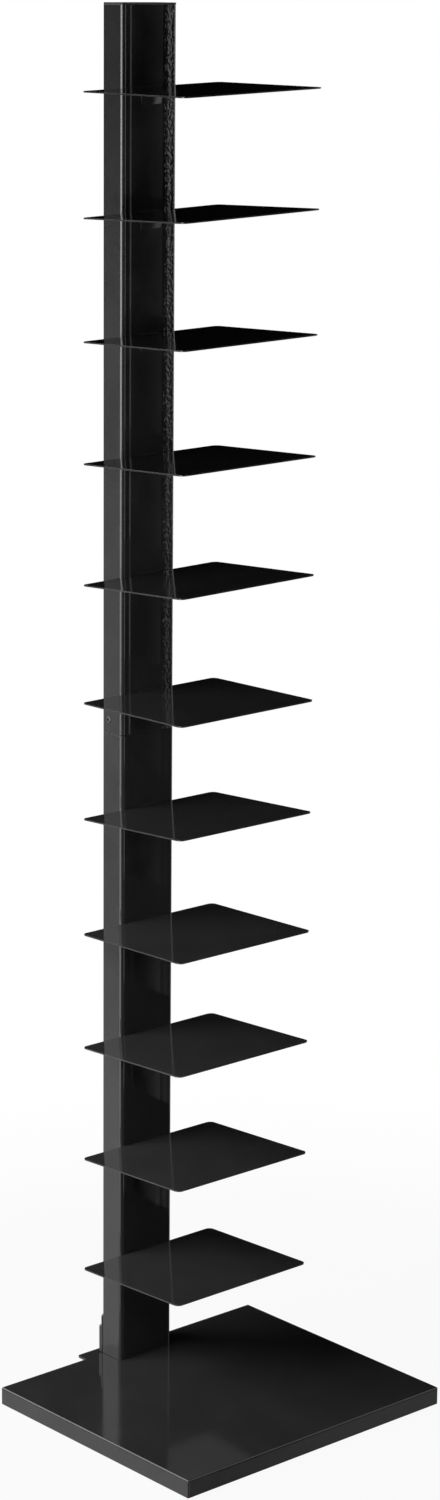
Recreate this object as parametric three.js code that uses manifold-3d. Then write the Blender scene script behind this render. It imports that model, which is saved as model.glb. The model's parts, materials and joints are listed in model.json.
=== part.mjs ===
// Spine bookshelf: a steel post on a flat base carries small cantilevered shelves, one above the other.
// Sizes are in millimetres. X runs across, the shelves reach out to -Y, and Z goes up from the floor.
// The pieces are placed from the middle of the base's back edge, and the group then moves the origin
// to the middle of the footprint.
import * as THREE from "three";
import { mergeVertices } from "three/addons/utils/BufferGeometryUtils.js";
import Module from "manifold-3d";

const wasm = await Module();
wasm.setup();

// Base, a folded tray of sheet steel that is open below
const baseWidth = 402;
const baseDepth = 344;
const skirtHeight = 21.5;
const baseSheet = 1.5;
const baseInnerBend = 0.5;
const floorClearance = 1.5;

// Post, two lengths of rectangular tube
const postWidth = 82;
const postDepth = 37;
const postWall = 1.5;
const postInnerBend = 3.5;
const postOverhang = 3; // the post's back stands this far behind the base's back edge
const seamBelowShelf = 51;
const seamGap = 0.4;
const shelvesOnLowerPost = 5;
const postAboveTopShelf = 91;

// Cap in the top of the post
const capFlange = 2;
const capSkirtDepth = 14;
const capWall = 2;
const capEdgeRadius = 0.8;

// Shelves, each a flat plate with a tab bent down against the post
const shelfAboveBase = 138.75; // the lowest shelf
const shelfPitch = 140.25;
const shelfWidth = 206;
const shelfReach = 178; // from the post's front face to the shelf's front edge
const shelfSheet = 1.5;
const shelfCornerRadius = 7;
const shelfBackGap = 1;
const tabWidth = 31;
const tabDrop = 20;
const tabCornerRadius = 2.5;
const tabInnerBend = 1.5;
const reliefWidth = 2;
const reliefExtra = 1; // how far a relief slot runs past the start of the bend

// How the plates stand, in degrees and from the lowest shelf up: no two are bent quite alike.
// A plate rises towards its front, and its left side hangs low.
const plateRiseDegrees = [2.1, 2.5, 2.4, 1.1, 2.7, 0.4, 2.7, 2.1, 1.5, 1.5, -0.4];
const plateRollDegrees = [0.3, 0.2, 0.4, 0.4, 0.3, 0.9, 1.5, 1.2, 1.6, 2.1, 2.1];

// Screws that hold a tab to the post, two to a shelf
const tabScrewSpacing = 17;
const tabScrewDrop = 7.5;
const tabScrewRadius = 2;
const tabScrewLength = 9;
const tabScrewHeadRadius = 3.5;
const tabScrewHeadHeight = 2.2;

// Sleeve inside the post, across the seam
const sleeveWall = 2;
const sleeveAboveSeam = 32;
const sleeveBelowSeam = 70;
const sleeveScrewRise = 16;
const sleeveScrewFromBack = 13.5;
const sleeveScrewRadius = 2.5;
const sleeveScrewLength = 9;
const sleeveScrewHeadRadius = 4;
const sleeveScrewHeadHeight = 1.6;

// Plug plate in the bottom of the post, and the bolts that hold it from below
const plugThickness = 6;
const footBoltSpacingX = 44;
const footBoltSpacingY = 14;
const footBoltRadius = 3;
const footBoltHeadFlats = 10;
const footBoltHeadHeight = 4;

// Foot bracket: a flat plate under the base's top sheet, with a leg that stands behind the post
const bracketSheet = 2.5;
const bracketWidth = 136;
const bracketReach = 17.5; // behind the base's back edge
const bracketLap = 58; // in front of the base's back edge
const bracketCornerRadius = 4;
const bracketLegWidth = 79;
const bracketLegRise = 49.5; // above the base's top

// Clamp bar behind the bracket's leg, with its two bolts and weld nuts
const barThickness = 4;
const barRise = 34; // above the base's top
const barCornerRadius = 2;
const barBoltSpacing = 46;
const barBoltRise = 20;
const barBoltRadius = 3;
const barBoltHeadFlats = 10;
const barBoltHeadHeight = 4;
const nutThickness = 5;
const nutFlats = 10;
const nutEngagement = 1; // how far a bolt's end shows past its nut

// Ribs under the base's top sheet, hat sections that the glides are pressed into
const ribSheet = 1.2;
const ribCrownWidth = 38;
const ribFlange = 12;
const ribInnerBend = 1.2;
const ribFromSide = 50; // from the base's side to the middle of the rib
const ribEndGap = 6;
const glideFromEnd = 24; // from the rib's end to the middle of a glide

// Glides
const glideRadius = 12;
const glideHeight = 3.5;
const glideEdgeRadius = 1;
const glideStemRadius = 3;
const glideStemLength = 5;

// Clearances, and how far a cutting tool runs past what it cuts
const holeClearance = 0.3;
const slipClearance = 0.25;
const notchClearance = 0.5;
const overrun = 2;

// How finely the round stretches are divided
const cornerSteps = 3;
const bendSteps = 2;
const screwSides = 10;
const holeSides = 10;
const hexSides = 6;
const glideSides = 16;
const domeSteps = 1;
const tightBendShare = 0.25;
const boltChamferShare = 0.25;

// Levels and faces that the pieces share
const skirtBottom = floorClearance;
const baseTop = skirtBottom + skirtHeight;
const sheetUnderside = baseTop - baseSheet;
const postBack = postOverhang;
const postFront = postBack - postDepth;
const postMiddle = (postBack + postFront) / 2;
const postBend = postInnerBend + postWall;
const boreWidth = postWidth - 2 * postWall;
const boreDepth = postDepth - 2 * postWall;
const shelfTops = plateRiseDegrees.map((_, i) => baseTop + shelfAboveBase + i * shelfPitch);
const seamLevel = shelfTops[shelvesOnLowerPost] - seamBelowShelf;
const tubeTop = shelfTops[shelfTops.length - 1] + postAboveTopShelf;

// Paints and other finishes
const paintBlack = 0x111213;
const gloss = new THREE.MeshStandardMaterial({ color: paintBlack, roughness: 0.22, metalness: 0.1 });
const satin = new THREE.MeshStandardMaterial({ color: 0x15161a, roughness: 0.45, metalness: 0.1 });
const zinc = new THREE.MeshStandardMaterial({ color: 0x9aa0a6, roughness: 0.4, metalness: 0.9 });
const plastic = new THREE.MeshStandardMaterial({ color: 0x1c1c1e, roughness: 0.6, metalness: 0 });

// A geometry as a solid that can be cut and joined
function solidOf(geometry) {
  const bare = geometry.clone();
  bare.deleteAttribute("normal");
  bare.deleteAttribute("uv");
  const merged = mergeVertices(bare);
  const mesh = new wasm.Mesh({
    numProp: 3,
    vertProperties: new Float32Array(merged.attributes.position.array),
    triVerts: new Uint32Array(merged.index.array),
  });
  return new wasm.Manifold(mesh);
}

// A solid as a geometry with flat faces
function geometryOf(solid) {
  const mesh = solid.getMesh();
  const geometry = new THREE.BufferGeometry();
  geometry.setAttribute("position", new THREE.BufferAttribute(mesh.vertProperties, mesh.numProp));
  geometry.setIndex(new THREE.BufferAttribute(mesh.triVerts, 1));
  const faceted = geometry.toNonIndexed();
  faceted.computeVertexNormals();
  return faceted;
}

// A rectangle round the origin with four round corners
function roundedOutline(width, depth, radius) {
  const x = width / 2 - radius;
  const y = depth / 2 - radius;
  const shape = new THREE.Shape();
  shape.absarc(x, y, radius, 0, Math.PI / 2);
  shape.absarc(-x, y, radius, Math.PI / 2, Math.PI);
  shape.absarc(-x, -y, radius, Math.PI, 1.5 * Math.PI);
  shape.absarc(x, -y, radius, 1.5 * Math.PI, 2 * Math.PI);
  shape.closePath();
  return shape;
}

// A rectangle that stands on y = 0 with its two upper corners round
function tombstoneOutline(width, height, radius) {
  const x = width / 2;
  const shape = new THREE.Shape();
  shape.moveTo(-x, 0);
  shape.lineTo(x, 0);
  shape.absarc(x - radius, height - radius, radius, 0, Math.PI / 2);
  shape.absarc(-x + radius, height - radius, radius, Math.PI / 2, Math.PI);
  shape.closePath();
  return shape;
}

// The outline of a strip of sheet folded along a line of points, with a round bend at each fold
function foldedOutline(points, sheet, innerBend) {
  const middleBend = innerBend + sheet / 2;
  const corners = points.slice(1, -1).map((corner, i) => {
    const into = corner.clone().sub(points[i]).normalize();
    const out = points[i + 2].clone().sub(corner).normalize();
    const turn = Math.atan2(into.cross(out), into.dot(out));
    const side = Math.sign(turn);
    const setback = middleBend * Math.tan(Math.abs(turn) / 2);
    const normal = new THREE.Vector2(-into.y, into.x).multiplyScalar(side);
    const centre = corner.clone().addScaledVector(into, -setback).addScaledVector(normal, middleBend);
    const start = Math.atan2(-normal.y, -normal.x);
    return { centre, side, start, end: start + turn };
  });
  const faceOf = (from, to, end, hand) => {
    const along = to.clone().sub(from).normalize();
    return end.clone().add(new THREE.Vector2(-along.y, along.x).multiplyScalar((hand * sheet) / 2));
  };
  const last = points.length - 1;
  const shape = new THREE.Shape();
  const first = faceOf(points[0], points[1], points[0], -1);
  shape.moveTo(first.x, first.y);
  for (const { centre, side, start, end } of corners) {
    const radius = middleBend + (side * sheet) / 2;
    shape.absarc(centre.x, centre.y, radius, start, end, side < 0);
  }
  for (const hand of [-1, 1]) {
    const tip = faceOf(points[last - 1], points[last], points[last], hand);
    shape.lineTo(tip.x, tip.y);
  }
  for (const { centre, side, start, end } of corners.reverse()) {
    const radius = middleBend - (side * sheet) / 2;
    shape.absarc(centre.x, centre.y, radius, end, start, side > 0);
  }
  const back = faceOf(points[0], points[1], points[0], 1);
  shape.lineTo(back.x, back.y);
  shape.closePath();
  return shape;
}

// An outline given thickness: upwards, across the width, or from the front to the back
function extruded(shape, length, steps = cornerSteps) {
  return new THREE.ExtrudeGeometry(shape, { depth: length, bevelEnabled: false, curveSegments: steps });
}

function raised(shape, bottom, top) {
  return solidOf(extruded(shape, top - bottom).translate(0, 0, bottom));
}

// The outline's x and y are the piece's Y and Z
function acrossWidth(shape, width, steps = bendSteps) {
  const axes = new THREE.Matrix4().makeBasis(
    new THREE.Vector3(0, 1, 0),
    new THREE.Vector3(0, 0, 1),
    new THREE.Vector3(1, 0, 0),
  );
  return solidOf(extruded(shape, width, steps).translate(0, 0, -width / 2).applyMatrix4(axes));
}

// The outline's x and y are the piece's X and Z, and it reaches from front to back along Y
function throughDepth(shape, front, back, steps = cornerSteps) {
  const axes = new THREE.Matrix4().makeBasis(
    new THREE.Vector3(1, 0, 0),
    new THREE.Vector3(0, 0, 1),
    new THREE.Vector3(0, -1, 0),
  );
  return solidOf(extruded(shape, back - front, steps).applyMatrix4(axes).translate(0, back, 0));
}

// A box between two corners
function block(low, high) {
  const size = high.map((value, i) => value - low[i]);
  const middle = high.map((value, i) => (value + low[i]) / 2);
  return solidOf(new THREE.BoxGeometry(...size).translate(...middle));
}

// A round cutter along Y or Z, or along X
function roundCutter(radius, length, direction, centre) {
  const cylinder = new THREE.CylinderGeometry(radius, radius, length, holeSides);
  if (direction === "x") cylinder.rotateZ(Math.PI / 2);
  if (direction === "z") cylinder.rotateX(Math.PI / 2);
  return solidOf(cylinder.translate(...centre));
}

// A rectangular tube that stands upright
function tube(width, depth, wall, bend, bottom, top) {
  const outline = roundedOutline(width, depth, bend);
  const insideBend = Math.max(bend - wall, bend * tightBendShare);
  outline.holes.push(roundedOutline(width - 2 * wall, depth - 2 * wall, insideBend));
  return raised(outline, bottom, top).translate([0, postMiddle, 0]);
}

// A block whose upright corners and upper edges are round, standing on z = 0
function roundedBlock(width, depth, height, radius) {
  const plan = raised(roundedOutline(width, depth, radius), 0, height);
  const across = acrossWidth(tombstoneOutline(depth, height, radius), width);
  const along = throughDepth(tombstoneOutline(width, height, radius), -depth / 2, depth / 2);
  return plan.intersect(across).intersect(along);
}

// Places of the holes that several pieces share
const tabScrewPlaces = [-1, 1].map((side) => (side * tabScrewSpacing) / 2);
const footBoltPlaces = [-1, 1].flatMap((sideX) =>
  [-1, 1].map((sideY) => [(sideX * footBoltSpacingX) / 2, postMiddle + (sideY * footBoltSpacingY) / 2]),
);
const barBoltPlaces = [-1, 1].map((side) => (side * barBoltSpacing) / 2);
const barBoltLevel = baseTop + barBoltRise;
const sleeveScrewLevel = seamLevel + sleeveScrewRise;
const sleeveScrewY = postBack - sleeveScrewFromBack;
const ribMiddles = [-1, 1].map((side) => side * (baseWidth / 2 - ribFromSide));
const ribFront = -baseDepth + baseSheet + baseInnerBend + ribEndGap;
const ribBack = -baseSheet - baseInnerBend - ribEndGap;

function footBoltCutters(bottom, top) {
  return footBoltPlaces.map(([x, y]) =>
    roundCutter(footBoltRadius + holeClearance, top - bottom, "z", [x, y, (top + bottom) / 2]),
  );
}

function barBoltCutters(front, back) {
  return barBoltPlaces.map((x) =>
    roundCutter(barBoltRadius + holeClearance, back - front, "y", [x, (front + back) / 2, barBoltLevel]),
  );
}

function without(solid, cutters) {
  return cutters.reduce((rest, cutter) => rest.subtract(cutter), solid);
}

// Base tray: a shell with a notch in its back skirt, where the foot bracket comes out
function baseTray() {
  const outside = roundedBlock(baseWidth, baseDepth, skirtHeight, baseInnerBend + baseSheet);
  const cavityHeight = skirtHeight - baseSheet;
  const cavity = roundedBlock(
    baseWidth - 2 * baseSheet,
    baseDepth - 2 * baseSheet,
    cavityHeight,
    baseInnerBend,
  );
  const mouth = block(
    [-baseWidth / 2 + baseSheet, -baseDepth / 2 + baseSheet, -overrun],
    [baseWidth / 2 - baseSheet, baseDepth / 2 - baseSheet, cavityHeight / 2],
  );
  const shell = outside
    .subtract(cavity)
    .subtract(mouth)
    .translate([0, -baseDepth / 2, skirtBottom]);
  const notch = block(
    [
      -bracketWidth / 2 - notchClearance,
      -baseSheet - baseInnerBend - notchClearance,
      sheetUnderside - bracketSheet - notchClearance,
    ],
    [bracketWidth / 2 + notchClearance, overrun, sheetUnderside],
  );
  return without(shell, [notch, ...footBoltCutters(sheetUnderside - overrun, baseTop + overrun)]);
}

// Rib: a hat section whose crown faces down, with a hole for each glide
function baseRib() {
  const crown = glideHeight + ribSheet / 2;
  const flange = sheetUnderside - ribSheet / 2;
  const web = ribCrownWidth / 2 - ribSheet / 2;
  const brim = ribCrownWidth / 2 + ribFlange;
  const line = [
    [-brim, flange],
    [-web, flange],
    [-web, crown],
    [web, crown],
    [web, flange],
    [brim, flange],
  ];
  const points = line.map(([x, z]) => new THREE.Vector2(x, z));
  const rib = throughDepth(foldedOutline(points, ribSheet, ribInnerBend), ribFront, ribBack, bendSteps);
  const holes = [ribFront + glideFromEnd, ribBack - glideFromEnd].map((y) =>
    roundCutter(glideStemRadius + holeClearance, 2 * overrun + ribSheet, "z", [0, y, crown]),
  );
  return without(rib, holes);
}

// Glide: a round pad with a stem that goes up through the rib's crown
function glide() {
  const profile = new THREE.Path();
  profile.moveTo(0, 0);
  profile.lineTo(glideRadius - glideEdgeRadius, 0);
  profile.absarc(glideRadius - glideEdgeRadius, glideEdgeRadius, glideEdgeRadius, -Math.PI / 2, 0);
  profile.lineTo(glideRadius, glideHeight);
  profile.lineTo(glideStemRadius, glideHeight);
  profile.lineTo(glideStemRadius, glideHeight + glideStemLength);
  profile.lineTo(0, glideHeight + glideStemLength);
  return new THREE.LatheGeometry(profile.getPoints(bendSteps), glideSides).rotateX(Math.PI / 2);
}

// Foot bracket: the plate passes out under the base's back edge, and its leg stands behind the post
function footBracket() {
  const plateTop = sheetUnderside;
  const plateBottom = plateTop - bracketSheet;
  const length = bracketReach + bracketLap;
  const plate = raised(roundedOutline(bracketWidth, length, bracketCornerRadius), plateBottom, plateTop)
    .translate([0, bracketReach - length / 2, 0]);
  const legHeight = baseTop + bracketLegRise - plateTop;
  const leg = throughDepth(
    tombstoneOutline(bracketLegWidth, legHeight + bracketSheet, bracketCornerRadius),
    postBack,
    postBack + bracketSheet,
  ).translate([0, 0, plateBottom]);
  return without(plate.add(leg), [
    ...footBoltCutters(plateBottom - overrun, plateTop + overrun),
    ...barBoltCutters(postBack - overrun, postBack + bracketSheet + overrun),
  ]);
}

// Clamp bar: a thick flat bar that rests on the bracket's plate, behind its leg
function clampBar() {
  const front = postBack + bracketSheet;
  const height = baseTop + barRise - sheetUnderside;
  const bar = throughDepth(
    tombstoneOutline(bracketLegWidth, height, barCornerRadius),
    front,
    front + barThickness,
  ).translate([0, 0, sheetUnderside]);
  return without(bar, barBoltCutters(front - overrun, front + barThickness + overrun));
}

// Plug plate welded into the bottom of the post, with threaded holes for the foot bolts
function postPlug() {
  const width = boreWidth - 2 * slipClearance;
  const depth = boreDepth - 2 * slipClearance;
  const plate = raised(roundedOutline(width, depth, postInnerBend), baseTop, baseTop + plugThickness)
    .translate([0, postMiddle, 0]);
  return without(plate, footBoltCutters(baseTop - overrun, baseTop + plugThickness + overrun));
}

// Where the two tab screws of shelf i go through the post's front, with the shelf rolled to its left
function tabScrewSeats(i) {
  const middle = new THREE.Vector2(0, shelfTops[i]);
  const roll = THREE.MathUtils.degToRad(plateRollDegrees[i]);
  return tabScrewPlaces.map((x) => {
    const seat = new THREE.Vector2(x, shelfTops[i] - tabScrewDrop);
    return seat.rotateAround(middle, roll);
  });
}

// Holes in the post's front wall for the screws of the shelves in a range of levels
function tabScrewCutters(bottom, top) {
  const seats = shelfTops.flatMap((level, i) => (level > bottom && level < top ? tabScrewSeats(i) : []));
  return seats.map((seat) =>
    roundCutter(tabScrewRadius + holeClearance, 2 * postWall + overrun, "y", [seat.x, postFront, seat.y]),
  );
}

function sleeveScrewCutters(length) {
  return [-1, 1].map((side) =>
    roundCutter(sleeveScrewRadius + holeClearance, length, "x", [
      (side * postWidth) / 2,
      sleeveScrewY,
      sleeveScrewLevel,
    ]),
  );
}

function lowerPost() {
  const top = seamLevel - seamGap / 2;
  const shell = tube(postWidth, postDepth, postWall, postBend, baseTop, top);
  return without(shell, [
    ...tabScrewCutters(baseTop, top),
    ...barBoltCutters(postBack - postWall - overrun, postBack + overrun),
  ]);
}

function upperPost() {
  const bottom = seamLevel + seamGap / 2;
  const shell = tube(postWidth, postDepth, postWall, postBend, bottom, tubeTop);
  return without(shell, [
    ...tabScrewCutters(bottom, tubeTop),
    ...sleeveScrewCutters(2 * postWall + overrun),
  ]);
}

// Sleeve: a shorter tube that slides into both posts
function jointSleeve() {
  const shell = tube(
    boreWidth - 2 * slipClearance,
    boreDepth - 2 * slipClearance,
    sleeveWall,
    postInnerBend,
    seamLevel - sleeveBelowSeam,
    seamLevel + sleeveAboveSeam,
  );
  return without(shell, sleeveScrewCutters(2 * (postWall + slipClearance + sleeveWall) + overrun));
}

// Cap: a flange as wide as the post over a hollow skirt that plugs its bore
function postCap() {
  const flange = roundedBlock(postWidth, postDepth, capFlange, capEdgeRadius)
    .intersect(raised(roundedOutline(postWidth, postDepth, postBend), 0, capFlange))
    .translate([0, postMiddle, tubeTop]);
  const skirt = tube(
    boreWidth - 2 * slipClearance,
    boreDepth - 2 * slipClearance,
    capWall,
    postInnerBend,
    tubeTop - capSkirtDepth,
    tubeTop + capFlange / 2,
  );
  return flange.add(skirt);
}

// Shelf, with the top of its back edge at z = 0. The plate is made level, with a tab folded down between
// two relief slots, and then the whole shelf is tipped about the fold until the tab stands upright.
function shelf(riseDegrees) {
  const rise = THREE.MathUtils.degToRad(riseDegrees);
  const fold = new THREE.Vector2(postFront - shelfSheet / 2, -shelfSheet / 2);
  const backEdge = postFront - shelfBackGap;
  const frontEdge = postFront - shelfReach;
  const depth = backEdge - frontEdge;
  const plate = raised(roundedOutline(shelfWidth, depth, shelfCornerRadius), -shelfSheet, 0)
    .translate([0, (backEdge + frontEdge) / 2, 0]);
  const slotEnd = postFront - tabInnerBend - shelfSheet - reliefExtra;
  const slots = [-1, 1].map((side) => {
    const x = (side * (tabWidth + reliefWidth)) / 2;
    const straight = block(
      [x - reliefWidth / 2, slotEnd, -shelfSheet - overrun],
      [x + reliefWidth / 2, postFront + overrun, overrun],
    );
    const roundEnd = roundCutter(reliefWidth / 2, shelfSheet + 2 * overrun, "z", [x, slotEnd, 0]);
    return straight.add(roundEnd);
  });
  const root = slotEnd - reliefExtra;
  const down = new THREE.Vector2(Math.sin(rise), -Math.cos(rise));
  const line = [
    new THREE.Vector2(root, fold.y),
    fold,
    fold.clone().addScaledVector(down, tabDrop),
  ];
  const strip = acrossWidth(foldedOutline(line, shelfSheet, tabInnerBend), tabWidth);
  const tabFace = throughDepth(
    tombstoneOutline(tabWidth, tabDrop, tabCornerRadius),
    root - overrun,
    postFront + tabDrop,
  ).mirror([0, 0, 1]);
  const gap = block([-tabWidth / 2, slotEnd, -shelfSheet - overrun], [tabWidth / 2, postFront, overrun]);
  const level = without(plate, [...slots, gap]).add(strip.intersect(tabFace));
  const tipped = level
    .translate([0, -fold.x, -fold.y])
    .rotate([-riseDegrees, 0, 0])
    .translate([0, fold.x, fold.y]);
  const holes = tabScrewPlaces.map((x) =>
    roundCutter(tabScrewRadius + holeClearance, 2 * shelfSheet + overrun, "y", [x, postFront, -tabScrewDrop]),
  );
  return without(tipped, holes);
}

// Domed screw along +Y with the underside of its head at y = 0
function domedScrew(headRadius, headHeight, shankRadius, length) {
  const chamfer = shankRadius * boltChamferShare;
  const profile = new THREE.Path();
  profile.moveTo(0, -headHeight);
  profile.absellipse(0, 0, headRadius, headHeight, -Math.PI / 2, 0);
  profile.lineTo(shankRadius, 0);
  profile.lineTo(shankRadius, length - chamfer);
  profile.lineTo(shankRadius - chamfer, length);
  profile.lineTo(0, length);
  return new THREE.LatheGeometry(profile.getPoints(domeSteps), screwSides);
}

// A hexagon along Y, by the width across its flats
function hexagon(flats, length) {
  const corner = flats / 2 / Math.cos(Math.PI / hexSides);
  return new THREE.CylinderGeometry(corner, corner, length, hexSides);
}

// Hexagon bolt along +Y with the underside of its head at y = 0
function hexBolt(flats, headHeight, shankRadius, length) {
  const chamfer = shankRadius * boltChamferShare;
  const head = solidOf(hexagon(flats, headHeight).translate(0, -headHeight / 2, 0));
  const profile = new THREE.Path();
  profile.moveTo(0, -headHeight / 2);
  profile.lineTo(shankRadius, -headHeight / 2);
  profile.lineTo(shankRadius, length - chamfer);
  profile.lineTo(shankRadius - chamfer, length);
  profile.lineTo(0, length);
  const shank = solidOf(new THREE.LatheGeometry(profile.getPoints(1), screwSides));
  return geometryOf(head.add(shank));
}

// Hexagon nut along Y, between y = 0 and y = thickness
function hexNut(flats, thickness, boreRadius) {
  const body = solidOf(hexagon(flats, thickness).translate(0, thickness / 2, 0));
  const bore = roundCutter(boreRadius, thickness + 2 * overrun, "y", [0, thickness / 2, 0]);
  return geometryOf(body.subtract(bore));
}

// The assembly
const bookshelf = new THREE.Group();

function place(name, shape, material, position = [0, 0, 0]) {
  const geometry = shape.isBufferGeometry ? shape : geometryOf(shape);
  const mesh = new THREE.Mesh(geometry, material.clone());
  mesh.name = name;
  mesh.position.set(...position);
  bookshelf.add(mesh);
  return mesh;
}

const sides = [
  ["left", -1],
  ["right", 1],
];

place("base_tray", baseTray(), gloss);
const ribShape = geometryOf(baseRib());
const glideShape = glide();
sides.forEach(([side], i) => {
  place(`base_rib_${side}`, ribShape, satin, [ribMiddles[i], 0, 0]);
  place(`glide_front_${side}`, glideShape, plastic, [ribMiddles[i], ribFront + glideFromEnd, 0]);
  place(`glide_back_${side}`, glideShape, plastic, [ribMiddles[i], ribBack - glideFromEnd, 0]);
});

place("foot_bracket", footBracket(), gloss);
place("clamp_bar", clampBar(), gloss);
place("post_plug", postPlug(), satin);
place("lower_post", lowerPost(), gloss);
place("upper_post", upperPost(), gloss);
place("joint_sleeve", jointSleeve(), satin);
place("post_cap", postCap(), plastic);

// Bolts from below, through the bracket, the top sheet and the plug
const footBoltLength = bracketSheet + baseSheet + plugThickness;
const footBoltShape = hexBolt(footBoltHeadFlats, footBoltHeadHeight, footBoltRadius, footBoltLength);
footBoltPlaces.forEach(([x, y], i) => {
  const bolt = place(`foot_bolt_${i + 1}`, footBoltShape, zinc, [x, y, sheetUnderside - bracketSheet]);
  bolt.rotation.x = Math.PI / 2;
});

// Bolts from behind, through the bar, the leg and the post's back wall, into weld nuts
const barBoltLength = barThickness + bracketSheet + postWall + nutThickness + nutEngagement;
const barBoltShape = hexBolt(barBoltHeadFlats, barBoltHeadHeight, barBoltRadius, barBoltLength);
const nutShape = hexNut(nutFlats, nutThickness, barBoltRadius + holeClearance);
sides.forEach(([side], i) => {
  const x = barBoltPlaces[i];
  const seat = postBack + bracketSheet + barThickness;
  const bolt = place(`clamp_bolt_${side}`, barBoltShape, zinc, [x, seat, barBoltLevel]);
  bolt.rotation.z = Math.PI;
  place(`weld_nut_${side}`, nutShape, zinc, [x, postBack - postWall - nutThickness, barBoltLevel]);
});

// Screws in the post's sides, into the sleeve
const sleeveScrewShape = domedScrew(
  sleeveScrewHeadRadius,
  sleeveScrewHeadHeight,
  sleeveScrewRadius,
  sleeveScrewLength,
);
sides.forEach(([side, sign]) => {
  const seat = [(sign * postWidth) / 2, sleeveScrewY, sleeveScrewLevel];
  const screw = place(`sleeve_screw_${side}`, sleeveScrewShape, gloss, seat);
  screw.rotation.z = (sign * Math.PI) / 2;
});

// Shelves, counted from the lowest, each with its two tab screws
const tabScrewShape = domedScrew(tabScrewHeadRadius, tabScrewHeadHeight, tabScrewRadius, tabScrewLength);
shelfTops.forEach((level, i) => {
  const number = String(i + 1).padStart(2, "0");
  const plate = place(`shelf_${number}`, shelf(plateRiseDegrees[i]), gloss, [0, 0, level]);
  plate.rotation.y = -THREE.MathUtils.degToRad(plateRollDegrees[i]);
  tabScrewSeats(i).forEach(({ x, y }, j) => {
    const seat = [x, postFront - shelfSheet, y];
    place(`tab_screw_${number}_${sides[j][0]}`, tabScrewShape, gloss, seat);
  });
});

// The origin goes to the middle of the footprint, from the base's front edge to the bracket's back edge
bookshelf.position.y = (baseDepth - bracketReach) / 2;

export default bookshelf;
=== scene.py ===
import json
import math

import bmesh
import bpy
import numpy as np
from mathutils import Matrix, Vector

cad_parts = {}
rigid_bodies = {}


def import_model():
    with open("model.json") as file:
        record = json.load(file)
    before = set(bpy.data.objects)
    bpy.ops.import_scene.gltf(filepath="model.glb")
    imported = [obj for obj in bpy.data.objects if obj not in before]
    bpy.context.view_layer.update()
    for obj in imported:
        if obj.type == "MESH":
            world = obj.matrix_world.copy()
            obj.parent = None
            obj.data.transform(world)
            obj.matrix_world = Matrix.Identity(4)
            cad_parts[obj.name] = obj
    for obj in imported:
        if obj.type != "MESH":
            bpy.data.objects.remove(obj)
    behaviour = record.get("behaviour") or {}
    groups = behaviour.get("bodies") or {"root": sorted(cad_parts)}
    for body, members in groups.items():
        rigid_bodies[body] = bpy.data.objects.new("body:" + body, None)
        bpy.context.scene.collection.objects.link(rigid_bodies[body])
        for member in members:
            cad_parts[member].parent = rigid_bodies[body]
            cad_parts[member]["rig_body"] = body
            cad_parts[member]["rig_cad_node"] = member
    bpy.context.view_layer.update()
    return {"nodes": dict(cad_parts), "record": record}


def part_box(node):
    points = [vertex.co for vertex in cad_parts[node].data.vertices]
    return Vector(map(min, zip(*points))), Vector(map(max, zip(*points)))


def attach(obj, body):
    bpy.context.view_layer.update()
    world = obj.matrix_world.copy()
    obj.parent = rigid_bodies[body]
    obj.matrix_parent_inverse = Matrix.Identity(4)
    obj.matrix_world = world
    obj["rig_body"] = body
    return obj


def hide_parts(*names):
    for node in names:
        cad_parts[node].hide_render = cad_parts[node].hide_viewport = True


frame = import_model()
nodes = frame["nodes"]
scene = bpy.context.scene
print("frame loaded with", len(nodes), "nodes")

mm = 0.001


# Camera: a long lens to the left of the shelf and in front of it, level with its top

viewFrom = {
    "place": (-2.5282, -2.8330, 1.6854),
    "turn": -0.72845,  # radians, to the right of straight ahead
    "dip": 0.22595,
    "lean": -0.00833,
    "lens": 80.65,
    "sensorHeight": 36.0,
    "clipEnd": 60.0,
}


def addCamera(p):
    # Ahead is +Y turned about Z and dipped, and the picture is then leaned about it
    cosTurn, sinTurn = math.cos(p["turn"]), math.sin(p["turn"])
    cosLean, sinLean = math.cos(p["lean"]), math.sin(p["lean"])
    cosDip = math.cos(p["dip"])
    ahead = Vector((-sinTurn * cosDip, cosTurn * cosDip, -math.sin(p["dip"])))
    across = Vector((cosTurn, sinTurn, 0))
    down = ahead.cross(across)
    right = across * cosLean + down * sinLean
    up = across * sinLean - down * cosLean
    data = bpy.data.cameras.new("camera")
    data.lens = p["lens"]
    data.sensor_fit = "VERTICAL"
    data.sensor_height = p["sensorHeight"]
    data.clip_end = p["clipEnd"]
    camera = bpy.data.objects.new("camera", data)
    camera.matrix_world = Matrix.Translation(p["place"]) @ Matrix((right, up, -ahead)).transposed().to_4x4()
    scene.collection.objects.link(camera)
    scene.camera = camera


addCamera(viewFrom)
print("camera set")


# Node helpers

def addNode(tree, kind, **values):
    node = tree.nodes.new(kind)
    for name, value in values.items():
        setattr(node, name, value)
    return node


def feed(tree, socket, value):
    # A number or a colour is set on the socket, and another node's output is linked to it
    if isinstance(value, bpy.types.NodeSocket):
        tree.links.new(value, socket)
    else:
        socket.default_value = (*value, 1) if isinstance(value, tuple) else value


def mathNode(tree, operation, a, b=None, clamp=False):
    node = addNode(tree, "ShaderNodeMath", operation=operation, use_clamp=clamp)
    for socket, value in zip(node.inputs, (a, b)):
        if value is not None:
            feed(tree, socket, value)
    return node.outputs[0]


def noiseNode(tree, place, scale, **values):
    node = addNode(tree, "ShaderNodeTexNoise")
    for name, value in {"Vector": place, "Scale": scale, **values}.items():
        feed(tree, node.inputs[name], value)
    return node.outputs["Fac"]


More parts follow.
